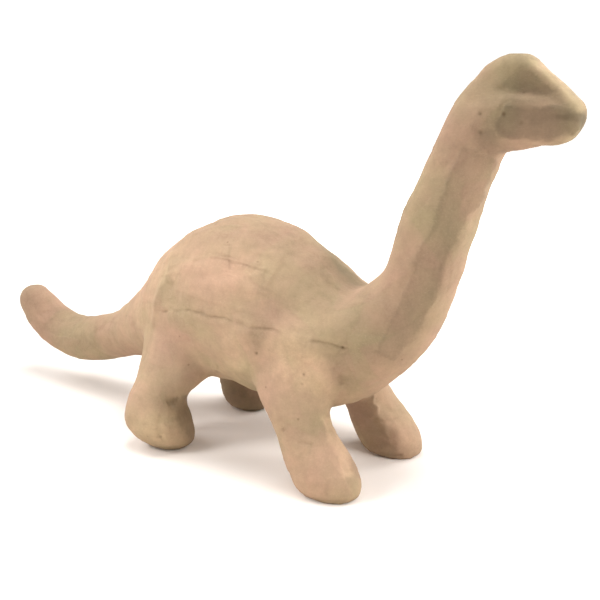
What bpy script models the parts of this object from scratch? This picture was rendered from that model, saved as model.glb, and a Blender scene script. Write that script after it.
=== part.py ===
"""A papier-mache dinosaur blank: one sealed shell of brown kraft paper, built here as one closed solid.

+X points to the head, +Y to the animal's left side and +Z up. The soles stand on Z = 0, and the
middle of the animal's box is over the origin.
"""

import math

import bmesh
import bpy
import numpy as np

# Driving dimensions, in metres
HEIGHT = 0.180  # from the floor to the crown of the head
BODY_WIDTH = 0.072  # across the widest part of the trunk
HEAD_WIDTH = 0.026  # across the cheeks
FORE_SPREAD = 0.054  # between the middles of the left and the right fore foot
HIND_SPREAD = 0.068  # and of the hind feet
SHARE = HEIGHT / 100  # the pose below is told in hundredths of the height

# How finely the shell is made
RING_POINTS = 24
RINGS_A_SPAN = 4
CAP_RINGS = 4
GRAIN = 0.65 * SHARE
SOFTENING = 0.5
SOFTENING_PASSES = 5
JOINT_PASSES = 50
JOINT_HEIGHTS = (16, 32)
JOINT_PLACES = (-38, 34)
JOINT_FADE = 6
KEPT_SHARE_OF_FACES = 0.062

# Bare kraft paper
PAPER_COLOUR = (0.58, 0.41, 0.26, 1.0)
PAPER_ROUGHNESS = 0.9

# Cuts across the trunk from the tip of the tail to the root of the head: place along X, height,
# lean in degrees (0 stands upright, 90 lies level), reach above and below that place, half the
# width as a share of half the body's width, and how square the cut is
TRUNK = [
    (-97.5, 24, -42, 4.9, 5.1, 0.25, 0.0),
    (-90, 18, -34, 5.2, 5.6, 0.30, 0.0),
    (-79, 14.8, -4, 5.4, 6, 0.33, 0.0),
    (-66, 16.5, 12, 6, 6.5, 0.36, 0.0),
    (-51, 22, 24, 7.5, 7.5, 0.42, 0.0),
    (-35, 28.5, 24, 12, 12, 0.65, 0.0),
    (-21, 34.5, 17, 19.5, 19, 0.90, 0.0),
    (-5, 39, 1, 22.5, 22.5, 1.00, 0.0),
    (10, 36, -8, 19.5, 21, 0.95, 0.0),
    (22, 36, 6, 14.7, 20, 0.82, 0.0),
    (32, 39, 30, 9, 14.5, 0.66, 0.0),
    (40, 46, 52, 8.3, 11, 0.50, 0.2),
    (46, 56, 67, 7.8, 8, 0.41, 0.4),
    (51, 70, 71, 7.3, 7, 0.36, 0.5),
    (55.5, 82.5, 66, 6.5, 7, 0.36, 0.4),
]

# The head goes on from there, with the width as a share of the head's width, and then how much of
# the carved outline below shows
HEAD = [
    (58.5, 88, 38, 7, 8, 1.00, 0.2),
    (64.5, 91.5, -5, 9.5, 10, 1.00, 1.0),
    (71.5, 90.8, -8, 6, 7.7, 0.90, 1.0),
    (76.5, 89.6, -18, 2.8, 5.6, 0.74, 0.8),
]

# Half of the head's cut, from the crown down to the throat: a flat crown and nose bridge, the
# hollow under the brow, the cheek's ridge, a flat cheek and the edge of the jaw
CARVED_OUTLINE = [
    (0.00, 1.00),
    (0.26, 0.99),
    (0.50, 0.90),
    (0.50, 0.66),
    (0.52, 0.42),
    (0.62, 0.22),
    (0.97, 0.06),
    (1.00, -0.18),
    (0.97, -0.42),
    (0.90, -0.68),
    (0.62, -0.88),
    (0.30, -0.97),
    (0.00, -1.00),
]

# Each leg from inside the trunk down through the floor: place along X, distance from the middle
# as a share of half the feet's spread, height, half the length and half the width
FORE_LEG = [
    (16, 0.60, 33, 10, 8),
    (18, 0.85, 22, 9.5, 7.5),
    (22, 0.95, 15, 7, 7),
    (28, 1.00, 6.5, 9.2, 7.2),
    (30.2, 1.00, 1, 8.4, 6.6),
    (30.4, 1.00, -2, 6, 4.5),
]
HIND_LEG = [
    (-21, 0.50, 30, 11, 9),
    (-20, 0.78, 21, 11, 8),
    (-22.5, 0.98, 14, 8, 7),
    (-22, 1.02, 7, 9.2, 8),
    (-20.5, 0.92, 2, 7.5, 6.8),
    (-20, 0.87, -1.5, 4, 3.5),
]


def clear_scene():
    for thing in list(bpy.data.objects):
        bpy.data.objects.remove(thing, do_unlink=True)


def collection_named(name):
    group = bpy.data.collections.new(name)
    bpy.context.scene.collection.children.link(group)
    return group


def paper_material():
    material = bpy.data.materials.new("kraft_paper")
    material.use_nodes = True
    shader = material.node_tree.nodes["Principled BSDF"]
    shader.inputs["Base Color"].default_value = PAPER_COLOUR
    shader.inputs["Roughness"].default_value = PAPER_ROUGHNESS
    shader.inputs["Metallic"].default_value = 0.0
    return material


def smooth_rows(table):
    """Rows along a curve through the table's rows, evenly spread between each two of them."""
    rows = np.array(table, dtype=float)
    before = 2 * rows[0] - rows[1]
    after = 2 * rows[-1] - rows[-2]
    held = np.vstack([before, rows, after])
    smooth = []
    for i in range(1, len(held) - 2):
        a, b, c, d = held[i - 1 : i + 3]
        for step in range(RINGS_A_SPAN):
            t = step / RINGS_A_SPAN
            bend = (2 * a - 5 * b + 4 * c - d) * t**2 + (3 * b - a - 3 * c + d) * t**3
            smooth.append(b + 0.5 * ((c - a) * t + bend))
    smooth.append(rows[-1])
    return np.array(smooth)


def squared(share, square):
    """A sine or cosine pushed outwards, so that a circle of them turns into a box with round corners."""
    return math.copysign(abs(share) ** (1 - 0.5 * square), share)


def outline(square, carved):
    """One cut as shares of its half width and its reach up and down, from the top round."""
    points = []
    half = RING_POINTS // 2
    for i in range(RING_POINTS):
        side = 1 if i <= half else -1
        across, up = CARVED_OUTLINE[min(i, RING_POINTS - i)]
        turn = 2 * math.pi * i / RING_POINTS
        points.append(
            (
                carved * side * across + (1 - carved) * squared(math.sin(turn), square),
                carved * up + (1 - carved) * squared(math.cos(turn), square),
            )
        )
    return points


def rounded_ends(rows):
    """The rows of a tube with a dome of smaller cuts added beyond each end."""
    rows = list(rows)
    for end, way in ((0, -1), (-1, 1)):
        last = rows[end]
        lean = math.radians(last[2])
        dome = []
        for step in range(1, CAP_RINGS + 1):
            turn = math.pi / 2 * step / (CAP_RINGS + 0.5)
            cut = last.copy()
            cut[0] += way * last[3] * math.sin(turn) * math.cos(lean)
            cut[1] += way * last[3] * math.sin(turn) * math.sin(lean)
            cut[3:6] *= math.cos(turn)
            dome.append(cut)
        rows = dome[::-1] + rows if way < 0 else rows + dome
    return rows


def trunk_rings():
    """Rings of points from the tip of the tail to the snout."""
    half_body = BODY_WIDTH / SHARE / 2
    half_head = HEAD_WIDTH / SHARE / 2
    table = [(*row[:5], row[5] * half_body, row[6], 0.0) for row in TRUNK]
    table += [(*row[:5], row[5] * half_head, 0.0, row[6]) for row in HEAD]
    rings = []
    for x, z, lean, above, below, width, square, carved in rounded_ends(smooth_rows(table)):
        turn = math.radians(lean)
        ring = []
        for across, up in outline(min(max(square, 0.0), 1.0), min(max(carved, 0.0), 1.0)):
            reach = up * (above if up > 0 else below)
            ring.append(
                (
                    (x - reach * math.sin(turn)) * SHARE,
                    across * width * SHARE,
                    (z + reach * math.cos(turn)) * SHARE,
                )
            )
        rings.append(ring)
    return rings


def leg_rings(table, spread, side):
    """Level rings of points from inside the trunk down through the floor."""
    half_spread = spread / SHARE / 2
    rings = []
    for x, out, z, length, width in smooth_rows(table):
        ring = []
        for i in range(RING_POINTS):
            turn = 2 * math.pi * i / RING_POINTS
            ring.append(
                (
                    (x + length * math.cos(turn)) * SHARE,
                    side * (out * half_spread + width * math.sin(turn)) * SHARE,
                    z * SHARE,
                )
            )
        rings.append(ring)
    return rings


def add_tube(shape, rings):
    """A closed tube through the rings, added to the mesh being made."""
    loops = [[shape.verts.new(point) for point in ring] for ring in rings]
    faces = [shape.faces.new(loops[0]), shape.faces.new(loops[-1])]
    for near, far in zip(loops, loops[1:]):
        for i in range(RING_POINTS):
            j = (i + 1) % RING_POINTS
            faces.append(shape.faces.new((near[i], near[j], far[j], far[i])))
    bmesh.ops.recalc_face_normals(shape, faces=faces)


def rough_animal(group):
    """Trunk and legs as overlapping tubes in one object, ready to be melted together."""
    shape = bmesh.new()
    add_tube(shape, trunk_rings())
    for table, spread in ((FORE_LEG, FORE_SPREAD), (HIND_LEG, HIND_SPREAD)):
        for side in (-1, 1):
            add_tube(shape, leg_rings(table, spread, side))
    mesh = bpy.data.meshes.new("papier_mache_dinosaur")
    shape.to_mesh(mesh)
    shape.free()
    animal = bpy.data.objects.new("papier_mache_dinosaur", mesh)
    group.objects.link(animal)
    return animal


def floor_cutter(group):
    """A block under the floor, wider than the animal, that cuts its soles flat."""
    size = 4 * HEIGHT
    shape = bmesh.new()
    bmesh.ops.create_cube(shape, size=size)
    bmesh.ops.translate(shape, verts=shape.verts, vec=(0, 0, -size / 2))
    mesh = bpy.data.meshes.new("floor_cutter")
    shape.to_mesh(mesh)
    shape.free()
    cutter = bpy.data.objects.new("floor_cutter", mesh)
    cutter.hide_render = True
    cutter.display_type = "WIRE"
    group.objects.link(cutter)
    return cutter


def evaluated_mesh(animal):
    """A copy of the object's mesh as its modifiers leave it."""
    bpy.context.view_layer.update()
    return bpy.data.meshes.new_from_object(animal.evaluated_get(bpy.context.evaluated_depsgraph_get()))


def apply_modifiers(animal):
    finished = evaluated_mesh(animal)
    animal.modifiers.clear()
    rough = animal.data
    animal.data = finished
    bpy.data.meshes.remove(rough)
    finished.name = animal.name


def ramp(value, start, end):
    """0 before the start, 1 past the end."""
    return min(max((value - start) / (end - start), 0.0), 1.0)


def mark_joints(animal):
    """A vertex group where the legs run into the trunk, fading out at the shins, back, tail and neck."""
    joints = animal.vertex_groups.new(name="joints")
    for corner in animal.data.vertices:
        x, _, z = corner.co / SHARE
        low, high = JOINT_HEIGHTS
        rear, front = JOINT_PLACES
        weight = ramp(z, low - JOINT_FADE, low) * ramp(-z, -high - JOINT_FADE, -high)
        weight *= ramp(x, rear - JOINT_FADE, rear) * ramp(-x, -front - JOINT_FADE, -front)
        joints.add([corner.index], weight, "REPLACE")


def melt_together(animal):
    """One even skin over all the tubes, softened, and most of all where the legs run into the trunk."""
    skin = animal.modifiers.new("skin", "REMESH")
    skin.mode = "VOXEL"
    skin.voxel_size = GRAIN
    apply_modifiers(animal)
    mark_joints(animal)
    for name, group, passes in (("joints", "joints", JOINT_PASSES), ("all_over", "", SOFTENING_PASSES)):
        soften = animal.modifiers.new(name, "SMOOTH")
        soften.factor = SOFTENING
        soften.iterations = passes
        soften.vertex_group = group


def thin_out(animal):
    """Fewer and larger faces on the plain stretches."""
    fewer = animal.modifiers.new("fewer_faces", "DECIMATE")
    fewer.ratio = KEPT_SHARE_OF_FACES


def cut_soles(animal, cutter):
    soles = animal.modifiers.new("soles", "BOOLEAN")
    soles.operation = "DIFFERENCE"
    soles.solver = "EXACT"
    soles.object = cutter


def centre_over_origin(animal):
    """Moves the finished mesh so that its box is centred over the origin."""
    places = np.array([corner.co for corner in animal.data.vertices])
    middle = (places.min(axis=0) + places.max(axis=0)) / 2
    shape = bmesh.new()
    shape.from_mesh(animal.data)
    bmesh.ops.translate(shape, verts=shape.verts, vec=(-middle[0], -middle[1], 0))
    shape.to_mesh(animal.data)
    shape.free()


def build():
    clear_scene()
    parts = collection_named("papier_mache_dinosaur")
    cutters = collection_named("cutters")
    animal = rough_animal(parts)
    melt_together(animal)
    thin_out(animal)
    cut_soles(animal, floor_cutter(cutters))
    apply_modifiers(animal)
    centre_over_origin(animal)
    animal.vertex_groups.clear()
    animal.data.materials.clear()
    animal.data.materials.append(paper_material())
    animal.data.shade_smooth()


build()
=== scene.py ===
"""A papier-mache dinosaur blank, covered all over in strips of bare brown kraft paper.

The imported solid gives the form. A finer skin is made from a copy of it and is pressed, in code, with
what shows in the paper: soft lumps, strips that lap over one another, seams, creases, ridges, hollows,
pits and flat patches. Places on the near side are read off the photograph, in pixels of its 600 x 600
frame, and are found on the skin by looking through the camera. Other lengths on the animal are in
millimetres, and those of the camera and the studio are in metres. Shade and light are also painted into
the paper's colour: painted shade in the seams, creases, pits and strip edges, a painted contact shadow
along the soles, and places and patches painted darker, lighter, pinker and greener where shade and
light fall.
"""

import math
import random

import bpy
import numpy as np
from mathutils import Matrix, Vector, noise
from mathutils.bvhtree import BVHTree


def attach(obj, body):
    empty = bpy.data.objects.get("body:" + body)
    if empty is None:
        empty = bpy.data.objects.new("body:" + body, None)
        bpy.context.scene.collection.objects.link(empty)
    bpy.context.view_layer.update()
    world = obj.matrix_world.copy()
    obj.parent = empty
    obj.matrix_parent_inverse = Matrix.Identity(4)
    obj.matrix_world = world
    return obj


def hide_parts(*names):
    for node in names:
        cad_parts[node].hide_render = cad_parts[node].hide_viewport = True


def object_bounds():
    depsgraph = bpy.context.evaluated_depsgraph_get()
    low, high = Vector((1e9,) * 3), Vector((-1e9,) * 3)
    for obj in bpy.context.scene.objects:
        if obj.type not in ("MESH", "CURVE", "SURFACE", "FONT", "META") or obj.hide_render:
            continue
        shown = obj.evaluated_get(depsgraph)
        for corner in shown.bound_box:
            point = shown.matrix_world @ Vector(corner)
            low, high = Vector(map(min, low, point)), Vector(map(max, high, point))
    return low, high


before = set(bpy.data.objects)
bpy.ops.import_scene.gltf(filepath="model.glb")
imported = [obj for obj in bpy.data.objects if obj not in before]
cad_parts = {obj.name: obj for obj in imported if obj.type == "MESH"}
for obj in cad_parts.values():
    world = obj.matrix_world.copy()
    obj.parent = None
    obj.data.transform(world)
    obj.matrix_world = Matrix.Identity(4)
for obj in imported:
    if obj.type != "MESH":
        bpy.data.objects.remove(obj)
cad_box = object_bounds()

NODE = "papier_mache_dinosaur"
MM = 0.001

# Seeds of the random strips and of the noises
STRIP_SEED = 11
EDGE_SEED = 1
LUMP_SEED = 3
SWAY_SEED = 20
BREAK_SEED = 23
PATCH_SEED = 31
NOISE_STEPS = (7.3, 3.1, 5.7)

# The camera, which stands to the front of the near side and looks a little down. Lines of pixels
# are followed over the skin in steps of so many pixels.
PICTURE_SIZE = 600
FOCAL_PIXELS = 860
SENSOR_WIDTH = 36.0
CAMERA_PLACE = Vector((0.2644, -0.3070, 0.1745))
CAMERA_AZIMUTH = math.radians(36.14)
CAMERA_LOOKS_DOWN = math.radians(14.78)
CAMERA_ROLL = math.radians(0.17)
NEAREST_SEEN = 0.01
PATH_STEP = 3

# The skin: the size of its faces, how far it stands off the solid, and how far from an edge or a
# mark its faces are made finer. Close to the floor nothing is pressed, so that the soles stay flat.
MERGE_REACH = 0.01
VOXEL = 1.6
SMOOTHING_PASSES = 3
SWELLING = 0.45
FINE_REACH = 1.3
FINEST_REACH = 1.3
PRESSED_ABOVE = (0.3, 4)

# Strips of paper, laid at a slant or, some of them, crosswise. Their torn edges wave by noises of these
# sizes and heights, and show as faint lines of painted shade, fainter on the near side as in the
# photograph.
STRIP_COUNT = 170
STRIP_LENGTH = (34, 60)
STRIP_WIDTH = (18, 27)
PAPER_THICKNESS = 0.16
STRIP_SLANT = 0.25
CROSSED_SHARE = 0.4
TURNED_AWAY = -0.2
EDGE_WIDTH = 0.9
EDGE_GROOVE = 0.07
EDGE_WAVES = [(9, 0.70), (3, 0.28)]
EDGE_LINE_WIDTH = 0.52
LINE_HIDDEN_BY_STRIP = 0.8
LINE_FADE_NEAR_SIDE = 0.75
NEAR_SIDE_FACING = (0.0, 0.3)

# Where the strips turn: up the neck and down the legs
NECK_ABOVE = 95
NECK_AHEAD_OF = 60
NECK_SLOPE = (0.5, 0, 0.87)
LEGS_BELOW = 45
LEGS_AHEAD_OF = -75

# Unevenness left by the hand: size and height of the lumps
LUMPS = [(24, 0.60), (11, 0.46), (4.5, 0.17)]

# Seams where one sheet laps over the next: pixels along it, from left to right, then how much the
# sheet above it (less than 0: the sheet below it) stands up, then how deep the groove is
SEAMS = [
    ([(152, 312), (180, 311), (200, 312), (212, 317), (224, 318), (238, 322)], -0.25, 0.36),
    ([(232, 320), (250, 327), (266, 330), (284, 333)], -0.25, 0.26),
    ([(229, 244), (230, 252), (230, 262), (231, 274)], 0.15, 0.20),
    ([(219, 260), (228, 261), (233, 264), (240, 265), (258, 270), (273, 276)], 0.12, 0.10),
    ([(308, 340), (321, 342), (335, 345), (342, 348), (350, 348)], 0.25, 0.34),
]
SEAM_WIDTH = 0.7
SEAM_REACH = 9

# Seams and creases sway, are stronger here and weaker there, and fade over a share of their length
SWAY = 0.8
SWAY_LENGTH = 5
BREAK_LENGTH = 4
BREAK_MEAN = 0.9
BREAK_SWING = 0.8
BREAK_RANGE = (0.45, 1.4)
END_FADE = 0.15

# Painted shade in the notches: how dark a seam, crease or pit is painted for each millimetre of its depth
SEAM_PAINTED_SHADE = 1.0
CREASE_PAINTED_SHADE = 0.6
PIT_PAINTED_SHADE = 1.4

# Creases: pixels along it, depth, width
CREASES = [
    ([(308, 340), (306, 347)], 0.25, 0.7),
    ([(302, 355), (307, 356), (312, 358)], 0.25, 0.7),
    ([(331, 366), (337, 374), (340, 380), (341, 388)], 0.45, 1.6),
    ([(294, 443), (305, 443), (316, 444)], 0.25, 0.8),
    ([(283, 427), (285, 432)], 0.45, 0.9),
    ([(329, 479), (327, 488), (325, 497)], 0.20, 0.9),
    ([(166, 405), (173, 401), (181, 396)], 0.60, 1.8),
    ([(164, 374), (171, 375), (179, 375)], 0.18, 0.9),
    ([(173, 416), (174, 422)], 0.30, 0.8),
    ([(165, 422), (167, 427)], 0.22, 0.8),
    ([(157, 437), (163, 437)], 0.35, 0.8),
    ([(143, 425), (154, 424)], 0.18, 0.7),
    ([(218, 364), (218, 372)], 0.30, 0.8),
    ([(441, 230), (441, 237)], 0.20, 0.8),
    ([(218, 219), (216, 226)], 0.35, 1.0),
    # These three run along the soles, where the pressing fades out near the floor, so they show mostly as
    # a dark line: a painted contact shadow where the feet meet the floor
    ([(137, 441), (150, 446), (165, 448), (180, 447)], 0.5, 0.9),
    ([(303, 495), (318, 500), (335, 502), (350, 499)], 0.5, 0.9),
    ([(376, 452), (388, 455), (404, 456)], 0.5, 0.9),
]

# Ridges where the paper was folded over an edge: pixels along it, height, width
RIDGES = [
    (
        [
            (463, 150), (453, 174), (444, 197), (438, 206), (430, 232), (418, 251), (410, 273),
            (400, 288),
        ],
        0.6,
        5,
    ),
    ([(466, 227), (457, 245), (449, 255), (444, 273), (437, 293), (424, 318)], 0.6, 5),
    ([(374, 397), (378, 413), (387, 425), (395, 432), (399, 444), (405, 449)], 1.2, 4.5),
    ([(318, 418), (323, 427), (328, 449), (334, 472)], 0.5, 3),
    ([(329, 427), (340, 449), (344, 471)], 0.4, 3),
    ([(529, 69), (541, 80), (556, 90), (566, 103), (580, 116)], 0.8, 3),
    ([(508, 99), (530, 98), (556, 101)], 0.7, 2.8),
    ([(503, 137), (540, 137), (572, 136)], 0.6, 2.8),
    ([(523, 60), (519, 70), (510, 80), (500, 90)], 1.0, 4),
    ([(153, 330), (155, 311), (158, 297), (165, 283), (172, 273)], 0.8, 4),
    ([(183, 273), (183, 290), (181, 304)], 0.35, 3),
]

# Hollows (less than 0: bulges): pixels along it, depth, width
HOLLOWS = [
    ([(170, 290), (174, 299)], 1.0, 5),
    ([(190, 253), (196, 254)], 0.4, 6),
    ([(213, 293), (214, 300)], 0.35, 3),
    ([(231, 275), (232, 303)], 0.3, 3),
    ([(245, 306), (272, 308), (296, 314)], 1.3, 7),
    ([(251, 277), (252, 290)], -0.6, 7),
    ([(205, 275), (212, 285)], -0.4, 8),
    ([(236, 342), (238, 358)], -0.6, 8),
    ([(262, 336), (259, 346)], 0.7, 5),
    ([(287, 345), (289, 366)], -1.7, 7),
    ([(315, 352), (320, 374)], -1.7, 7),
    ([(300, 352), (302, 372)], 0.4, 3),
    ([(308, 325), (322, 322)], -0.5, 8),
    ([(332, 262), (345, 281)], 0.9, 10),
    ([(317, 250), (322, 251)], 0.3, 3),
    ([(340, 360), (342, 386)], 1.6, 6),
    ([(350, 358), (362, 366)], 0.6, 9),
    ([(358, 315), (358, 329)], 0.3, 3),
    ([(368, 312), (369, 318)], 0.3, 3),
    ([(195, 345), (200, 354)], 1.2, 9),
    ([(180, 412), (184, 428)], 0.9, 5),
    ([(519, 82), (533, 84), (549, 88)], 1.4, 4.2),
    ([(540, 114), (572, 117)], 0.5, 3.5),
    ([(577, 136), (571, 138)], -2.8, 3.4),
    ([(498, 66), (505, 64)], -1.2, 7),
    ([(372, 412), (380, 430)], 0.7, 7),
    ([(190, 402), (182, 410)], 0.8, 3),
    ([(36, 294), (52, 303), (62, 312), (78, 320), (100, 322)], -2.8, 7),
    ([(45, 331), (64, 345), (80, 350), (97, 351)], 1.2, 7),
    ([(190, 240), (212, 231)], -0.8, 9),
    ([(298, 235), (312, 246), (324, 255)], -2.6, 10),
    ([(399, 240), (407, 215)], -0.9, 8),
    ([(467, 240), (457, 270)], -0.7, 8),
    ([(377, 273), (382, 264), (388, 254)], 3.0, 12),
    ([(143, 358), (140, 370)], 0.9, 7),
    ([(508, 147), (530, 143), (548, 140)], -1.4, 4),
    ([(560, 139), (575, 135)], -0.9, 3.5),
    ([(543, 73), (560, 87)], -0.7, 4),
]

# Crinkled places: pixel, radius, height, size of the crinkles
CRINKLES = [
    ((473, 132), 8, 0.45, 3.2),
    ((492, 141), 6, 0.30, 3.0),
    ((176, 420), 7, 0.25, 2.6),
    ((347, 482), 6, 0.25, 2.6),
    ((362, 325), 11, 0.25, 4.0),
    ((394, 430), 9, 0.35, 3.4),
    ((575, 112), 6, 0.25, 3.0),
    ((315, 375), 14, 0.12, 3.0),
]

# Pits: pixel, depth, width
PITS = [
    ((257, 353), 0.5, 0.55),
    ((342, 348), 0.6, 0.6),
    ((304, 374), 0.4, 0.6),
    ((302, 384), 0.2, 0.5),
    ((504, 114), 0.6, 0.7),
    ((480, 114), 0.3, 0.6),
    ((521, 123), 0.25, 0.6),
    ((481, 132), 0.35, 0.7),
]

# Painted shade and painted light: soft places painted darker where shade falls (less than 0: lighter
# where light falls), partly the paper's own tone: pixels along it, share, width
PAINTED_SHADE_PLACES = [
    ([(512, 84), (530, 80), (548, 88)], 0.08, 5),
    ([(506, 116), (540, 118), (576, 122)], 0.12, 8),
    ([(488, 138), (495, 150)], 0.22, 7),
    ([(470, 195), (452, 235), (432, 290)], 0.08, 6),
    ([(332, 257), (345, 271), (357, 282)], 0.32, 8),
    ([(375, 340), (400, 325)], 0.12, 14),
    ([(342, 360), (346, 380)], 0.06, 7),
    ([(262, 306), (270, 318)], 0.08, 8),
    ([(262, 334), (256, 346)], 0.08, 4),
    ([(168, 286), (172, 300)], 0.08, 7),
    ([(186, 404), (192, 425)], 0.05, 6),
    ([(60, 325), (110, 338)], 0.10, 12),
    ([(165, 350), (160, 385)], 0.12, 14),
    ([(288, 345), (288, 370)], -0.08, 8),
    ([(316, 355), (320, 385)], -0.08, 8),
    ([(150, 425), (165, 432)], -0.27, 10),
    ([(400, 425), (408, 440)], -0.16, 6),
    ([(236, 345), (238, 360)], -0.06, 8),
    ([(236, 396), (252, 404)], 0.35, 12),
    ([(520, 99), (560, 112)], 0.08, 7),
    ([(235, 285), (250, 290)], -0.16, 16),
    ([(295, 350), (305, 370)], -0.20, 14),
    ([(310, 480), (330, 488)], -0.10, 12),
    ([(34, 296), (50, 312)], 0.12, 12),
    ([(462, 250), (450, 285)], 0.10, 7),
    ([(165, 280), (185, 262)], -0.10, 14),
    ([(205, 230), (250, 223), (290, 240)], 0.13, 14),
    ([(584, 117), (584, 128), (578, 137)], 0.32, 3.5),
]

# Painted tint: soft places painted pinker where light falls (less than 0: greener where shade falls),
# partly the paper's own colour: pixels along it, how much, width
PAINTED_TINT_PLACES = [
    ([(200, 240), (250, 228), (300, 255)], 1.8, 16),
    ([(240, 285), (250, 300)], 0.8, 16),
    ([(288, 350), (320, 375)], 1.2, 16),
    ([(335, 260), (355, 280)], -1.2, 10),
    ([(512, 84), (548, 88)], -1.2, 6),
    ([(510, 120), (575, 125)], -1.5, 9),
    ([(505, 150), (540, 144), (572, 137)], -1.0, 5),
    ([(455, 235), (400, 340)], -0.8, 12),
    ([(236, 396), (252, 404)], -1.5, 14),
    ([(60, 325), (110, 338)], 0.6, 14),
    ([(120, 320), (60, 310)], 0.5, 12),
    ([(170, 340), (215, 345)], 0.5, 18),
]

# Flat patches between the folds of the paper: name, corners in pixels, how much painted shade the patch
# gets (less than 0: painted light, for a facet that faces the light), and how much of its roundness is
# pressed flat
PATCHES = [
    (
        "nape",
        [
            (516, 58), (516, 70), (502, 88), (483, 95), (478, 106), (463, 103), (456, 105),
            (483, 72), (498, 58),
        ],
        -0.04,
        0.5,
    ),
    (
        "brow hollow",
        [
            (521, 67), (534, 73), (547, 85), (559, 91), (554, 95), (539, 93), (522, 92), (502, 89),
            (506, 79), (514, 72),
        ],
        0.15,
        0.6,
    ),
    ("cheek ridge", [(506, 95), (552, 95), (549, 103), (531, 106), (508, 106)], 0.06, 0.3),
    (
        "cheek",
        [
            (506, 106), (531, 106), (551, 105), (562, 106), (572, 111), (580, 117), (579, 128),
            (572, 134), (547, 136), (499, 138), (493, 123),
        ],
        0.22,
        0.6,
    ),
    ("under the nose", [(539, 115), (577, 115), (580, 119), (564, 120), (542, 117)], 0.12, 0.0),
    (
        "jaw underside",
        [
            (501, 141), (547, 137), (576, 135), (574, 140), (539, 146), (506, 156), (499, 154),
        ],
        0.04,
        0.7,
    ),
    (
        "nose bridge",
        [
            (527, 58), (541, 62), (562, 83), (584, 106), (585, 111), (577, 111), (562, 98),
            (552, 88), (531, 69),
        ],
        -0.24,
        0.6,
    ),
    ("snout front", [(578, 113), (588, 116), (586, 130), (577, 142), (573, 139), (578, 127)], 0.20, 0.3),
    ("throat", [(473, 126), (494, 130), (499, 143), (494, 156), (486, 154), (478, 143)], 0.10, 0.0),
    (
        "neck",
        [
            (463, 148), (453, 169), (443, 189), (440, 206), (428, 236), (420, 246), (413, 269),
            (406, 289), (401, 300), (387, 330), (374, 352), (394, 358), (414, 335), (433, 300),
            (440, 280), (446, 256), (456, 239), (466, 216), (481, 206), (486, 189), (498, 163),
            (489, 154),
        ],
        0.13,
        0.5,
    ),
    ("hip dent", [(158, 289), (181, 280), (179, 296), (159, 305), (154, 307)], 0.08, 0.0),
    ("flank valley", [(249, 314), (272, 305), (284, 311), (277, 332), (256, 325)], 0.07, 0.0),
    (
        "flank patch",
        [
            (243, 270), (258, 270), (268, 293), (263, 305), (245, 300), (249, 284),
        ],
        -0.06,
        0.2,
    ),
    ("belly patch", [(225, 336), (249, 332), (252, 361), (245, 371), (224, 370)], -0.05, 0.3),
    ("belly fold", [(252, 332), (268, 332), (259, 348), (252, 346)], 0.09, 0.0),
    (
        "shoulder, hind part",
        [
            (279, 343), (299, 339), (302, 352), (299, 370), (286, 379), (279, 366),
        ],
        -0.08,
        0.3,
    ),
    (
        "shoulder, fore part",
        [
            (309, 350), (318, 348), (329, 361), (332, 379), (329, 389), (316, 396), (309, 393),
            (300, 379), (302, 364),
        ],
        -0.08,
        0.3,
    ),
    (
        "breast",
        [
            (322, 352), (343, 355), (365, 339), (384, 354), (370, 373), (350, 386), (340, 386),
            (334, 370),
        ],
        0.05,
        0.0,
    ),
    ("armpit", [(334, 375), (350, 379), (343, 389), (336, 386)], 0.05, 0.0),
    (
        "behind the neck",
        [
            (320, 259), (334, 261), (350, 271), (368, 282), (368, 296), (349, 300), (334, 288),
            (320, 275),
        ],
        0.08,
        0.1,
    ),
    (
        "fore leg edge",
        [
            (320, 415), (334, 418), (345, 443), (353, 474), (342, 480), (335, 457), (325, 438),
        ],
        -0.22,
        0.6,
    ),
    (
        "hock",
        [
            (172, 402), (186, 394), (189, 414), (196, 430), (195, 439), (190, 439), (177, 420),
            (172, 409),
        ],
        0.18,
        0.4,
    ),
    (
        "fore leg side",
        [
            (336, 418), (347, 430), (364, 462), (362, 478), (355, 476), (346, 445),
        ],
        0.14,
        0.3,
    ),
    ("far fore leg", [(347, 405), (374, 396), (393, 446), (370, 450)], 0.12, 0.4),
]

# The patches' edges, in pixels: how soft the edge of the painted shade is, how far in the pressing takes
# full hold, and the size and height of the tears. A place takes the painted shade and light, and is
# pressed, by how squarely it faces the camera. The line of sight starts clear of the skin.
PATCH_EDGE = 1.6
PATCH_RUN = 2.5
PATCH_TEARS = [(3.5, 3.0), (1.4, 1.5)]
FEWEST_POINTS = 4
SHADE_FACING = (0, 0.25)
PRESS_FACING = (0.12, 0.6)
SHADE_RANGE = (-0.4, 0.6)
LOOK_CLEAR = 1.5

# Kraft paper, pasted and dried
PAPER_BROWN = (0.355, 0.246, 0.154, 1.0)
# Dark brown of the specks, and of the painted shade in the seams, creases, pits and strip edges
SPECK_AND_SHADE_DARK = (0.11, 0.070, 0.036, 1.0)
# Pink and green: the paper's own tones, and the painted tint where light falls (pink) and shade falls
# (green)
PINK_OF_PAPER_AND_LIGHT = (0.405, 0.243, 0.170, 1.0)
GREEN_OF_PAPER_AND_SHADE = (0.300, 0.247, 0.134, 1.0)
PAPER_FIBRE = (0.46, 0.34, 0.235, 1.0)
BROWN_SHARE = 0.4
FIBRE_SHARE = 0.35
SPECK_SHARE = 0.35
LINE_SHARE = 0.16

# Pink and green: what the strips and the clouds of colour add, from one end to the other
STRIP_WARMTH = 0.5
WANDER_RANGE = (0.35, 0.65)
WARMTH_ENDS = (-1.5, 1.5)

# Brightness: the range of each noise and how much it swings the brightness each way
TONE_SWING = 0.035
CLOUD_SWING = (0.3, 0.7, 0.08)
GRAIN_SWING = (0.25, 0.75, 0.07)
MOTTLE_SWING = (0.3, 0.7, 0.06)

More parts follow.
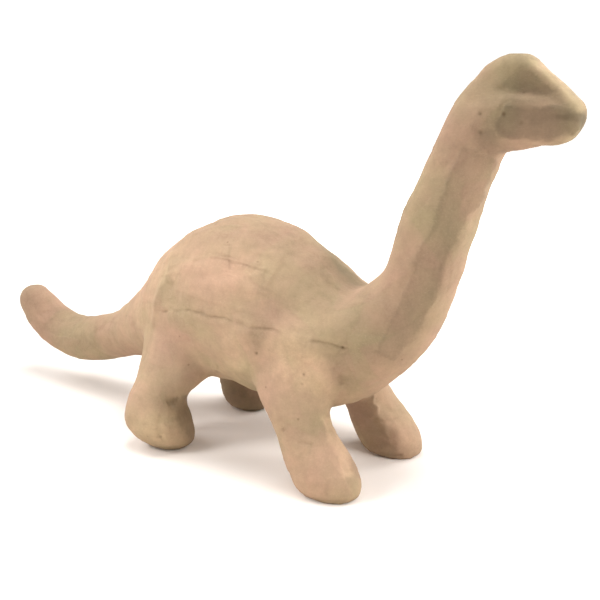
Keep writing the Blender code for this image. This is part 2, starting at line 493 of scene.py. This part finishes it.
# How fine the paper's patterns are, in features to a metre, and which part of each noise shows
WARMTH_SCALE = 38
CLOUD_SCALE = 90
SPECK_SCALE = 230
PULP_SCALE = 260
MOTTLE_SCALE = 300
GRAIN_SCALE = 1100
FIBRE_STRETCH = (350, 2600, 2600)
LONG_FIBRES = (0.4, 0.9, 0.3)
CROSS_FIBRES = (1.1, 0.2, 1.4)
FIBRE_RANGE = (0.60, 0.78)
SPECK_RANGE = (0.16, 0.08)
SPECKLED_CELLS = (0.94, 0.95)

# The paper's fine relief, what each pattern adds to it, and how matte the paper is
RELIEF_STRENGTH = 0.55
RELIEF_HEIGHT = 0.12
GRAIN_RELIEF = 0.6
FIBRE_RELIEF = 0.5
PULP_RELIEF = 1.6
PAPER_ROUGHNESS = (0.82, 0.95)
PAPER_GLOSS = 0.25

# Studio: a white table under soft lamps, in a white room whose ceiling is dim
FLOOR_SIZE = 12
FLOOR_COLOUR = (0.88, 0.82, 0.775, 1.0)
FLOOR_ROUGHNESS = 0.9
FLOOR_GLOSS = 0.1
GLOW_COLOUR = (1.0, 1.0, 1.0, 1.0)
GLOW_STARTS = 0.22
GLOW_FULL = 0.65
FLOOR_GLOW = 0.95
HORIZON_COLOUR = (1.1, 1.1, 1.08, 1.0)
CEILING_COLOUR = (0.2, 0.2, 0.19, 1.0)
HORIZON_ENDS = 5
CEILING_STARTS = 9

# Lamps: name, place, size and power in watts. All point at the middle of the animal.
LIT_PLACE = Vector((0, 0, 0.08))
LIGHTS = [
    ("tail side", (-0.50, -0.10, 0.50), 0.30, 2.1),
    ("overhead", (-0.05, 0.03, 0.60), 0.30, 2.5),
    ("head side", (0.45, 0.10, 0.30), 0.30, 1.4),
    ("far side", (0.35, 0.70, 0.50), 0.50, 5.0),
    ("near side", (-0.15, -0.45, 0.15), 0.30, 0.5),
    ("high head side", (0.71, 0.00, 0.63), 0.40, 1.4),
]
SPOT_PLACE = Vector((-0.28, -0.42, 0.45))
SPOT_AIM = Vector((0.0, -0.04, 0.055))
SPOT_ANGLE = math.radians(26)
SPOT_BLEND = 0.7
SPOT_SIZE = 0.12
SPOT_POWER = 12


def deselect_all():
    bpy.ops.object.select_all(action="DESELECT")


def camera_axes():
    """The camera's right, up and back directions."""
    a, e, r = CAMERA_AZIMUTH, CAMERA_LOOKS_DOWN, CAMERA_ROLL
    back = Vector((math.sin(a) * math.cos(e), -math.cos(a) * math.cos(e), math.sin(e)))
    level = Vector((math.cos(a), math.sin(a), 0))
    rise = back.cross(level)
    right = level * math.cos(r) + rise * math.sin(r)
    up = rise * math.cos(r) - level * math.sin(r)
    return right, up, back


def make_camera():
    lens = bpy.data.cameras.new("camera")
    lens.sensor_width = SENSOR_WIDTH
    lens.lens = FOCAL_PIXELS / PICTURE_SIZE * SENSOR_WIDTH
    lens.clip_start = NEAREST_SEEN
    camera = bpy.data.objects.new("camera", lens)
    bpy.context.scene.collection.objects.link(camera)
    right, up, back = camera_axes()
    turned = Matrix((right, up, back)).transposed()
    camera.matrix_world = Matrix.Translation(CAMERA_PLACE) @ turned.to_4x4()
    bpy.context.scene.camera = camera


def mesh_places(mesh):
    """The mesh's points and normals as arrays, the points in millimetres."""
    places = np.empty(len(mesh.vertices) * 3)
    mesh.vertices.foreach_get("co", places)
    normals = np.empty(len(mesh.vertices) * 3)
    mesh.vertex_normals.foreach_get("vector", normals)
    return places.reshape(-1, 3) / MM, normals.reshape(-1, 3)


def apply_modifier(thing, kind, **settings):
    step = thing.modifiers.new(kind, kind)
    for name, value in settings.items():
        setattr(step, name, value)
    bpy.context.view_layer.objects.active = thing
    bpy.ops.object.modifier_apply(modifier=step.name)


def copied_skin():
    """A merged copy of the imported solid, as an even net of small faces."""
    deselect_all()
    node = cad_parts[NODE]
    skin = bpy.data.objects.new("paper_dinosaur", node.data.copy())
    bpy.context.scene.collection.objects.link(skin)
    skin.data.materials.clear()
    skin.select_set(True)
    bpy.context.view_layer.objects.active = skin
    bpy.ops.object.mode_set(mode="EDIT")
    bpy.ops.mesh.select_all(action="SELECT")
    bpy.ops.mesh.remove_doubles(threshold=MERGE_REACH * MM)
    bpy.ops.object.mode_set(mode="OBJECT")
    apply_modifier(skin, "REMESH", mode="VOXEL", voxel_size=VOXEL * MM)
    apply_modifier(skin, "SMOOTH", factor=0.5, iterations=SMOOTHING_PASSES)
    return skin


class Looker:
    """Finds the point of the skin that a pixel of the photograph shows."""

    def __init__(self, skin):
        self.tree = BVHTree.FromObject(skin, bpy.context.evaluated_depsgraph_get())
        self.right, self.up, self.back = camera_axes()

    def spot(self, pixel):
        middle = PICTURE_SIZE / 2
        across = self.right * ((pixel[0] - middle) / FOCAL_PIXELS)
        rise = self.up * ((middle - pixel[1]) / FOCAL_PIXELS)
        way = (across + rise - self.back).normalized()
        place, normal, _, _ = self.tree.ray_cast(CAMERA_PLACE, way)
        return place, normal

    def path(self, pixels):
        """Points on the skin along a line of pixels, in millimetres, and the skin's normals there."""
        places = []
        normals = []
        for start, end in zip(pixels, pixels[1:]):
            count = max(1, round(math.dist(start, end) / PATH_STEP))
            for i in range(count + (end == pixels[-1])):
                pixel = [a + (b - a) * i / count for a, b in zip(start, end)]
                place, normal = self.spot(pixel)
                if place is not None:
                    places.append(place / MM)
                    normals.append(normal)
        return np.array(places), np.array(normals)


def ramp(values, start, end):
    """0 before the start and 1 past the end, with a soft run between them."""
    t = np.clip((values - start) / (end - start), 0, 1)
    return t * t * (3 - 2 * t)


def noise_at(places, size, seed):
    """Smooth noise from -1 to 1 at each place, with bumps about the given size across."""
    shift = Vector([seed * step for step in NOISE_STEPS])
    return np.array([noise.noise(Vector(place) / size + shift) for place in places])


def layered_noise(places, layers, seed):
    """Noises laid over one another, each with its size and its height."""
    return sum(height * noise_at(places, size, seed + i) for i, (size, height) in enumerate(layers))


def from_path(places, path, normals):
    """Distance from each place to the path, which side of it the place is on, and how far along."""
    nearest = np.full(len(places), np.inf)
    side = np.zeros(len(places))
    along = np.zeros(len(places))
    count = len(path) - 1
    for i in range(count):
        start, end = path[i], path[i + 1]
        run = end - start
        length = np.dot(run, run)
        if length == 0:
            continue
        t = np.clip((places - start) @ run / length, 0, 1)
        gap = places - start - t[:, None] * run
        distance = np.linalg.norm(gap, axis=1)
        closer = distance < nearest
        nearest[closer] = distance[closer]
        across = np.cross(normals[i], run / math.sqrt(length))
        side[closer] = (gap @ across)[closer]
        along[closer] = ((i + t) / count)[closer]
    return nearest, side, along


def from_pixel(looker, places, pixel):
    """Distance from each place to the point of the skin that a pixel shows."""
    return np.linalg.norm(places - np.array(looker.spot(pixel)[0]) / MM, axis=1)


def soft_spot(distance, width):
    """1 in the middle, running softly to 0 past the width."""
    return np.exp(-((distance / width) ** 2))


def fade_at_ends(along):
    return ramp(along, 0, END_FADE) * ramp(1 - along, 0, END_FADE)


def strip_direction(place, chance):
    """The way a strip is laid: along the neck, down the legs, or along the trunk and tail."""
    x, _, z = place
    if z > NECK_ABOVE and x > NECK_AHEAD_OF:
        way = Vector(NECK_SLOPE)
    elif z < LEGS_BELOW and x > LEGS_AHEAD_OF:
        way = Vector((0, 0, 1))
    else:
        way = Vector((1, 0, 0))
    if chance.random() < CROSSED_SHARE:
        way = Vector((way.z, 0, -way.x)) if chance.random() < 0.5 else Vector((0, 1, 0))
    return way + Vector([chance.uniform(-STRIP_SLANT, STRIP_SLANT) for _ in range(3)])


def laid_strips(places, normals):
    """Strips of paper laid at random all over, each with its middle, its directions and its sizes."""
    chance = random.Random(STRIP_SEED)
    strips = []
    for _ in range(STRIP_COUNT):
        i = chance.randrange(len(places))
        normal = Vector(normals[i])
        way = strip_direction(places[i], chance)
        way = (way - normal * way.dot(normal)).normalized()
        strips.append(
            {
                "middle": places[i].copy(),
                "normal": np.array(normal),
                "along": np.array(way),
                "across": np.array(normal.cross(way)),
                "half_length": chance.uniform(*STRIP_LENGTH) / 2,
                "half_width": chance.uniform(*STRIP_WIDTH) / 2,
                "tone": chance.uniform(-1, 1),
                "warmth": chance.uniform(-1, 1),
            }
        )
    return strips


def inside_strip(strip, places, normals, wave):
    """How far each place lies inside a strip's edge, less than 0 outside it."""
    gap = places - strip["middle"]
    far = np.linalg.norm(gap, axis=1)
    u = gap @ strip["along"]
    v = gap @ strip["across"]
    flat = np.maximum(np.hypot(u, v), 1e-6)
    u, v = u * far / flat, v * far / flat
    depth = np.minimum(strip["half_length"] - abs(u), strip["half_width"] - abs(v)) + wave
    turned_away = normals @ strip["normal"] < TURNED_AWAY
    return np.where(turned_away, -np.inf, depth)


def sheet_relief(strips, places, normals):
    """Height, tone, warmth and edge lines (painted shade) of the paper, one strip laid after another."""
    wave = layered_noise(places, EDGE_WAVES, EDGE_SEED)
    height = np.zeros(len(places))
    tone = np.zeros(len(places))
    warmth = np.zeros(len(places))
    line = np.zeros(len(places))
    near_side = ramp(normals @ np.array(camera_axes()[2]), *NEAR_SIDE_FACING)
    for strip in strips:
        depth = inside_strip(strip, places, normals, wave)
        cover = ramp(depth, -EDGE_WIDTH / 2, EDGE_WIDTH / 2)
        height += PAPER_THICKNESS * cover
        tone += (strip["tone"] - tone) * cover
        warmth += (strip["warmth"] - warmth) * cover
        line *= 1 - LINE_HIDDEN_BY_STRIP * cover
        line += soft_spot(depth + EDGE_WIDTH / 2, EDGE_LINE_WIDTH)
    line = np.minimum(line, 1) * (1 - LINE_FADE_NEAR_SIDE * near_side)
    return height - height.mean() - EDGE_GROOVE * line, tone, warmth, line


def mark_paths(looker):
    """All marks that need the finest faces, as paths on the skin."""
    pixels = [seam[0] for seam in SEAMS] + [crease[0] for crease in CREASES]
    pixels += [[pit[0], (pit[0][0] + 1, pit[0][1])] for pit in PITS]
    return [looker.path(line) for line in pixels]


def inside_patch(pixels, corners):
    """How far each pixel lies inside the patch, less than 0 outside it."""
    nearest = np.full(len(pixels), np.inf)
    inside = np.zeros(len(pixels), bool)
    x, y = pixels.T
    for start, end in zip(corners, corners[1:] + corners[:1]):
        run = np.subtract(end, start)
        t = np.clip((pixels - start) @ run / (run @ run), 0, 1)
        nearest = np.minimum(nearest, np.linalg.norm(pixels - start - t[:, None] * run, axis=1))
        if start[1] != end[1]:
            crossed = (start[1] > y) != (end[1] > y)
            inside ^= crossed & (x < start[0] + run[0] * (y - start[1]) / run[1])
    return np.where(inside, nearest, -nearest)


def pixels_of(places):
    """The pixel of the photograph that each place falls on."""
    right, up, back = (np.array(axis) for axis in camera_axes())
    gap = places * MM - np.array(CAMERA_PLACE)
    depth = -(gap @ back)
    across = gap @ right / depth * FOCAL_PIXELS
    rise = gap @ up / depth * FOCAL_PIXELS
    return np.stack([PICTURE_SIZE / 2 + across, PICTURE_SIZE / 2 - rise], 1)


def facing_camera(looker, places, normals):
    """How squarely the camera sees each place: 1 full on, 0 at the outline and where it is hidden."""
    facing = np.zeros(len(places))
    for i, (place, normal) in enumerate(zip(places, normals)):
        way = (CAMERA_PLACE - Vector(place) * MM).normalized()
        turned = way.dot(Vector(normal))
        start = Vector(place) * MM + Vector(normal) * LOOK_CLEAR * MM
        if turned > 0 and looker.tree.ray_cast(start, way)[0] is None:
            facing[i] = turned
    return facing


def press_patches(looker, places, normals):
    """Height of the flat patches, and the painted shade and painted light on them."""
    height = np.zeros(len(places))
    shade = np.zeros(len(places))
    pixels = pixels_of(places)
    facing = facing_camera(looker, places, normals)
    seen = ramp(facing, *SHADE_FACING)
    pressed = ramp(facing, *PRESS_FACING)
    torn = layered_noise(places, PATCH_TEARS, PATCH_SEED)
    for _, corners, painted_shade_and_light, flat in PATCHES:
        depth = inside_patch(pixels, corners) + torn
        shade += painted_shade_and_light * seen * ramp(depth, -PATCH_EDGE, PATCH_EDGE)
        core = (depth > 0) & (seen > 0)
        if flat and core.sum() >= FEWEST_POINTS:
            middle = places[core].mean(0)
            out = np.linalg.svd(places[core] - middle, full_matrices=False)[2][2]
            out *= np.sign(out @ normals[core].mean(0))
            height += flat * pressed * ((middle - places) @ out) * ramp(depth, 0, PATCH_RUN)
    return height, shade


def subdivide_where(skin, near):
    """Splits the faces that hold a chosen point into four."""
    deselect_all()
    skin.select_set(True)
    bpy.context.view_layer.objects.active = skin
    corners = skin.data.polygons
    chosen = [any(near[i] for i in face.vertices) for face in corners]
    bpy.ops.object.mode_set(mode="EDIT")
    bpy.ops.mesh.select_mode(type="FACE")
    bpy.ops.mesh.select_all(action="DESELECT")
    bpy.ops.object.mode_set(mode="OBJECT")
    corners.foreach_set("select", chosen)
    bpy.ops.object.mode_set(mode="EDIT")
    bpy.ops.mesh.subdivide(number_cuts=1)
    bpy.ops.object.mode_set(mode="OBJECT")


def refine_skin(skin, strips, paths):
    """Finer faces at the edges of the strips, and finer still along the marks."""
    places, normals = mesh_places(skin.data)
    wave = np.zeros(len(places))
    near = np.zeros(len(places), bool)
    for strip in strips:
        depth = inside_strip(strip, places, normals, wave)
        near[depth > FINE_REACH] = False
        near |= abs(depth) < FINE_REACH
    for path, path_normals in paths:
        near |= from_path(places, path, path_normals)[0] < 2 * FINE_REACH
    subdivide_where(skin, near)
    places, normals = mesh_places(skin.data)
    near = np.zeros(len(places), bool)
    for path, path_normals in paths:
        near |= from_path(places, path, path_normals)[0] < FINEST_REACH
    subdivide_where(skin, near)


def press_seams(looker, places, sway, broken):
    """Height of the seams, each with the sheet on one side of it standing up, and the painted shade in
    their grooves.
    """
    height = np.zeros(len(places))
    dark = np.zeros(len(places))
    for pixels, step, groove in SEAMS:
        distance, side, along = from_path(places + sway, *looker.path(pixels))
        ends = fade_at_ends(along)
        lifted = ramp(side * math.copysign(1, step), -SEAM_WIDTH / 2, SEAM_WIDTH / 2)
        height += abs(step) * lifted * soft_spot(distance, SEAM_REACH) * ends
        notch = groove * soft_spot(distance, SEAM_WIDTH) * ends * broken
        height -= notch
        dark += SEAM_PAINTED_SHADE * notch
    return height, dark


def press_creases(looker, places, sway, broken):
    """Depth of the creases."""
    depths = np.zeros(len(places))
    for pixels, depth, width in CREASES:
        distance, _, along = from_path(places + sway, *looker.path(pixels))
        depths += depth * soft_spot(distance, width) * fade_at_ends(along) * broken
    return depths


def press_ridges(looker, places):
    """Height of the ridges, sharp along the fold."""
    height = np.zeros(len(places))
    for pixels, tall, width in RIDGES:
        distance, _, along = from_path(places, *looker.path(pixels))
        height += tall * np.maximum(1 - distance / width, 0) * fade_at_ends(along)
    return height


def press_crinkles(looker, places):
    """Height of the crinkled places."""
    height = np.zeros(len(places))
    for pixel, radius, tall, size in CRINKLES:
        distance = from_pixel(looker, places, pixel)
        height += tall * noise_at(places, size, radius) * soft_spot(distance, radius)
    return height


def press_pits(looker, places):
    """Depth of the pits."""
    depths = np.zeros(len(places))
    for pixel, depth, width in PITS:
        distance = from_pixel(looker, places, pixel)
        depths += depth * soft_spot(distance, width)
    return depths


def along_lines(looker, places, marks):
    """Sum of soft marks along lines of pixels, each with its strength and width."""
    total = np.zeros(len(places))
    for pixels, strength, width in marks:
        distance, _, _ = from_path(places, *looker.path(pixels))
        total += strength * soft_spot(distance, width)
    return total


def press_marks(looker, places):
    """Height of the seams, creases, ridges, hollows, crinkles and pits, and the painted shade in the
    seams, creases and pits.
    """
    sway = SWAY * np.stack([noise_at(places, SWAY_LENGTH, SWAY_SEED + i) for i in range(3)], 1)
    broken = BREAK_MEAN + BREAK_SWING * noise_at(places, BREAK_LENGTH, BREAK_SEED)
    broken = np.clip(broken, *BREAK_RANGE)
    height, dark = press_seams(looker, places, sway, broken)
    creases = press_creases(looker, places, sway, broken)
    pits = press_pits(looker, places)
    height += press_ridges(looker, places) + press_crinkles(looker, places)
    height -= creases + pits + along_lines(looker, places, HOLLOWS)
    dark += CREASE_PAINTED_SHADE * creases + PIT_PAINTED_SHADE * pits
    return height, np.clip(dark, 0, 1)


def keep_attribute(mesh, name, values):
    layer = mesh.attributes.new(name, "FLOAT", "POINT")
    layer.data.foreach_set("value", values.astype(np.float32))


def pressed_skin():
    """The finished animal: copied, refined, and pressed with all that shows in the paper."""
    skin = copied_skin()
    looker = Looker(skin)
    strips = laid_strips(*mesh_places(skin.data))
    refine_skin(skin, strips, mark_paths(looker))
    places, normals = mesh_places(skin.data)
    sheets, tone, warmth, line = sheet_relief(strips, places, normals)
    # dark: painted shade in the seams, creases and pits, and a painted contact shadow along the soles
    marks, dark = press_marks(looker, places)
    flats, painted_shade_and_light = press_patches(looker, places, normals)
    # Painted tint: pinker where light falls, greener where shade falls
    warmth += along_lines(looker, places, PAINTED_TINT_PLACES)
    # Painted shade and painted light from the listed places and the patches
    shade = np.clip(along_lines(looker, places, PAINTED_SHADE_PLACES) + painted_shade_and_light, *SHADE_RANGE)
    lumps = layered_noise(places, LUMPS, LUMP_SEED)
    pressed = ramp(places[:, 2], *PRESSED_ABOVE)
    moved = places + normals * ((sheets + marks + flats + lumps + SWELLING) * pressed)[:, None]
    low, high = (np.array(corner) / MM for corner in cad_box)
    moved = np.clip(moved, low, high)
    skin.data.vertices.foreach_set("co", (moved * MM).ravel())
    # line, dark and shade carry painted shade (shade also painted light); warmth also carries the painted
    # tint
    kept = {"tone": tone, "warmth": warmth, "line": line, "dark": dark, "shade": shade}
    for name, values in kept.items():
        keep_attribute(skin.data, name, values)
    skin.data.shade_smooth()
    return skin


def node_at(tree, kind, **inputs):
    """A new node with its plain inputs set by name."""
    node = tree.nodes.new(kind)
    for name, value in inputs.items():
        node.inputs[name.replace("_", " ")].default_value = value
    return node


def attribute_node(tree, name):
    node = tree.nodes.new("ShaderNodeAttribute")
    node.attribute_name = name
    return node.outputs["Fac"]


def maths(tree, kind, first, second):
    """A Math node on two sockets or numbers."""
    node = tree.nodes.new("ShaderNodeMath")
    node.operation = kind
    for i, value in enumerate((first, second)):
        if isinstance(value, (int, float)):
            node.inputs[i].default_value = value
        else:
            tree.links.new(value, node.inputs[i])
    return node.outputs[0]


def blended(tree, share, first, second, kind="MIX"):
    """A Mix node for colours; each colour is a socket or four numbers."""
    node = tree.nodes.new("ShaderNodeMix")
    node.data_type = "RGBA"
    node.blend_type = kind
    for socket, value in ((node.inputs[0], share), (node.inputs[6], first), (node.inputs[7], second)):
        if isinstance(value, (int, float, tuple)):
            socket.default_value = value
        else:
            tree.links.new(value, socket)
    return node.outputs[2]


def ranged(tree, value, low, high, start=0.0, end=1.0):
    node = tree.nodes.new("ShaderNodeMapRange")
    node.inputs["From Min"].default_value = low
    node.inputs["From Max"].default_value = high
    node.inputs["To Min"].default_value = start
    node.inputs["To Max"].default_value = end
    tree.links.new(value, node.inputs["Value"])
    return node.outputs["Result"]


def cloudy(tree, where, scale, detail=3.0, rough=0.55):
    node = node_at(tree, "ShaderNodeTexNoise", Scale=scale, Detail=detail, Roughness=rough)
    tree.links.new(where, node.inputs["Vector"])
    return node.outputs["Fac"]


def stretched(tree, where, turn, stretch):
    """Coordinates turned and drawn out, for a grain that runs one way."""
    node = node_at(tree, "ShaderNodeMapping", Rotation=turn, Scale=stretch)
    tree.links.new(where, node.inputs["Vector"])
    return node.outputs["Vector"]


def paper_brown_and_painted_tint(tree, where):
    """Brown that wanders between pinkish and greenish, also from strip to strip, and is painted pinker
    where light falls and greener where shade falls.
    """
    wander = ranged(tree, cloudy(tree, where, WARMTH_SCALE), *WANDER_RANGE, -1, 1)
    warmth = maths(tree, "MULTIPLY", attribute_node(tree, "warmth"), STRIP_WARMTH)
    warmth = maths(tree, "ADD", warmth, wander)
    colour = blended(tree, ranged(tree, warmth, *WARMTH_ENDS), GREEN_OF_PAPER_AND_SHADE, PINK_OF_PAPER_AND_LIGHT)
    return blended(tree, BROWN_SHARE, colour, PAPER_BROWN)


def paper_fibres(tree, where):
    """Thin fibres that run two ways."""
    ways = []
    for turn in (LONG_FIBRES, CROSS_FIBRES):
        streaks = cloudy(tree, stretched(tree, where, turn, FIBRE_STRETCH), 1.0, 2.0)
        ways.append(ranged(tree, streaks, *FIBRE_RANGE))
    return maths(tree, "MAXIMUM", *ways)


def brightness_with_painted_shade(tree, clouds, mottle, grain):
    """Grey that the brown is multiplied by: strips of differing tone, clouds, mottle, grain, and painted
    shade and light.
    """
    value = maths(tree, "MULTIPLY", attribute_node(tree, "tone"), TONE_SWING)
    patterns = ((clouds, CLOUD_SWING), (grain, GRAIN_SWING), (mottle, MOTTLE_SWING))
    for pattern, (low, high, swing) in patterns:
        value = maths(tree, "ADD", value, ranged(tree, pattern, low, high, -swing, swing))
    value = maths(tree, "ADD", value, 1.0)
    # Painted shade and painted light: the shade attribute darkens and lightens places
    light = maths(tree, "SUBTRACT", 1.0, attribute_node(tree, "shade"))
    value = maths(tree, "MULTIPLY", value, light)
    grey = tree.nodes.new("ShaderNodeCombineColor")
    for i in range(3):
        tree.links.new(value, grey.inputs[i])
    return grey.outputs[0]


def paper_specks(tree, where):
    """Small dark specks, in few of the cells."""
    specks = node_at(tree, "ShaderNodeTexVoronoi", Scale=SPECK_SCALE)
    tree.links.new(where, specks.inputs["Vector"])
    chosen = tree.nodes.new("ShaderNodeSeparateColor")
    tree.links.new(specks.outputs["Color"], chosen.inputs[0])
    small = ranged(tree, specks.outputs["Distance"], *SPECK_RANGE)
    few = ranged(tree, chosen.outputs[0], *SPECKLED_CELLS)
    return maths(tree, "MULTIPLY", small, few)


def paper_relief(tree, grain, fibres, pulp):
    """The shading normal for what is finer than the skin's faces: grain, fibres and pulp."""
    relief = maths(tree, "MULTIPLY", grain, GRAIN_RELIEF)
    relief = maths(tree, "ADD", relief, maths(tree, "MULTIPLY", fibres, FIBRE_RELIEF))
    relief = maths(tree, "ADD", relief, maths(tree, "MULTIPLY", pulp, PULP_RELIEF))
    bump = node_at(tree, "ShaderNodeBump", Strength=RELIEF_STRENGTH, Distance=RELIEF_HEIGHT * MM)
    tree.links.new(relief, bump.inputs["Height"])
    return bump.outputs["Normal"]


def kraft_paper():
    """Matte brown paper: clouds, strips of differing tone, fibres, flecks, and painted shade and light:
    dark seams, creases, pits and strip edges, and places painted darker, lighter, pinker and greener.
    """
    material = bpy.data.materials.new("kraft_paper")
    material.use_nodes = True
    tree = material.node_tree
    shader = tree.nodes["Principled BSDF"]
    where = tree.nodes.new("ShaderNodeTexCoord").outputs["Object"]
    clouds = cloudy(tree, where, CLOUD_SCALE, 4.0)
    mottle = cloudy(tree, where, MOTTLE_SCALE, 3.0, 0.6)
    grain = cloudy(tree, where, GRAIN_SCALE, 5.0, 0.65)
    pulp = cloudy(tree, where, PULP_SCALE, 3.0)
    fibres = paper_fibres(tree, where)

    colour = paper_brown_and_painted_tint(tree, where)
    colour = blended(tree, maths(tree, "MULTIPLY", fibres, FIBRE_SHARE), colour, PAPER_FIBRE)
    colour = blended(tree, 1.0, colour, brightness_with_painted_shade(tree, clouds, mottle, grain), "MULTIPLY")
    specks = maths(tree, "MULTIPLY", paper_specks(tree, where), SPECK_SHARE)
    colour = blended(tree, specks, colour, SPECK_AND_SHADE_DARK)
    # Painted shade: faint dark lines along the strip edges
    lines = maths(tree, "MULTIPLY", attribute_node(tree, "line"), LINE_SHARE)
    colour = blended(tree, lines, colour, SPECK_AND_SHADE_DARK)
    # Painted shade in the seams, creases and pits, and a painted contact shadow along the soles
    colour = blended(tree, attribute_node(tree, "dark"), colour, SPECK_AND_SHADE_DARK)

    tree.links.new(colour, shader.inputs["Base Color"])
    tree.links.new(paper_relief(tree, grain, fibres, pulp), shader.inputs["Normal"])
    roughness = ranged(tree, clouds, *CLOUD_SWING[:2], *PAPER_ROUGHNESS)
    tree.links.new(roughness, shader.inputs["Roughness"])
    shader.inputs["Specular IOR Level"].default_value = PAPER_GLOSS
    return material


def floor_material():
    """White, and glowing softly far from the animal, so that it runs into the room without an edge."""
    material = bpy.data.materials.new("floor_white")
    material.use_nodes = True
    tree = material.node_tree
    shader = tree.nodes["Principled BSDF"]
    shader.inputs["Base Color"].default_value = FLOOR_COLOUR
    shader.inputs["Roughness"].default_value = FLOOR_ROUGHNESS
    shader.inputs["Specular IOR Level"].default_value = FLOOR_GLOSS
    reach = tree.nodes.new("ShaderNodeVectorMath")
    reach.operation = "LENGTH"
    tree.links.new(tree.nodes.new("ShaderNodeTexCoord").outputs["Object"], reach.inputs[0])
    glow = ranged(tree, reach.outputs["Value"], GLOW_STARTS, GLOW_FULL, 0.0, FLOOR_GLOW)
    tree.links.new(glow, shader.inputs["Emission Strength"])
    shader.inputs["Emission Color"].default_value = GLOW_COLOUR
    return material


def make_floor():
    deselect_all()
    bpy.ops.mesh.primitive_plane_add(size=FLOOR_SIZE)
    floor = bpy.context.object
    floor.name = "floor"
    floor.data.materials.append(floor_material())


def make_room():
    """Light from all round: white at the horizon and dim overhead."""
    world = bpy.data.worlds.new("room")
    bpy.context.scene.world = world
    world.use_nodes = True
    tree = world.node_tree
    way = tree.nodes.new("ShaderNodeSeparateXYZ")
    tree.links.new(tree.nodes.new("ShaderNodeTexCoord").outputs["Generated"], way.inputs[0])
    low, high = (math.sin(math.radians(angle)) for angle in (HORIZON_ENDS, CEILING_STARTS))
    height = ranged(tree, way.outputs["Z"], low, high)
    colour = blended(tree, height, HORIZON_COLOUR, CEILING_COLOUR)
    tree.links.new(colour, tree.nodes["Background"].inputs["Color"])


def make_light(name, place, size, power):
    lamp = bpy.data.lights.new(name, "AREA")
    lamp.size = size
    lamp.energy = power
    light = bpy.data.objects.new(name, lamp)
    bpy.context.scene.collection.objects.link(light)
    light.location = place
    light.rotation_euler = (LIT_PLACE - Vector(place)).to_track_quat("-Z", "Y").to_euler()


def make_spot():
    """A soft spot on the trunk and the legs, which leaves the head in its own shade."""
    lamp = bpy.data.lights.new("trunk", "SPOT")
    lamp.spot_size = SPOT_ANGLE
    lamp.spot_blend = SPOT_BLEND
    lamp.shadow_soft_size = SPOT_SIZE
    lamp.energy = SPOT_POWER
    spot = bpy.data.objects.new("trunk", lamp)
    bpy.context.scene.collection.objects.link(spot)
    spot.location = SPOT_PLACE
    spot.rotation_euler = (SPOT_AIM - SPOT_PLACE).to_track_quat("-Z", "Y").to_euler()


def make_studio():
    make_floor()
    make_room()
    for light in LIGHTS:
        make_light(*light)
    make_spot()
    bpy.context.scene.view_settings.view_transform = "Standard"


skin = pressed_skin()
skin.data.materials.append(kraft_paper())
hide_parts(NODE)
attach(skin, "root")
make_studio()
make_camera()
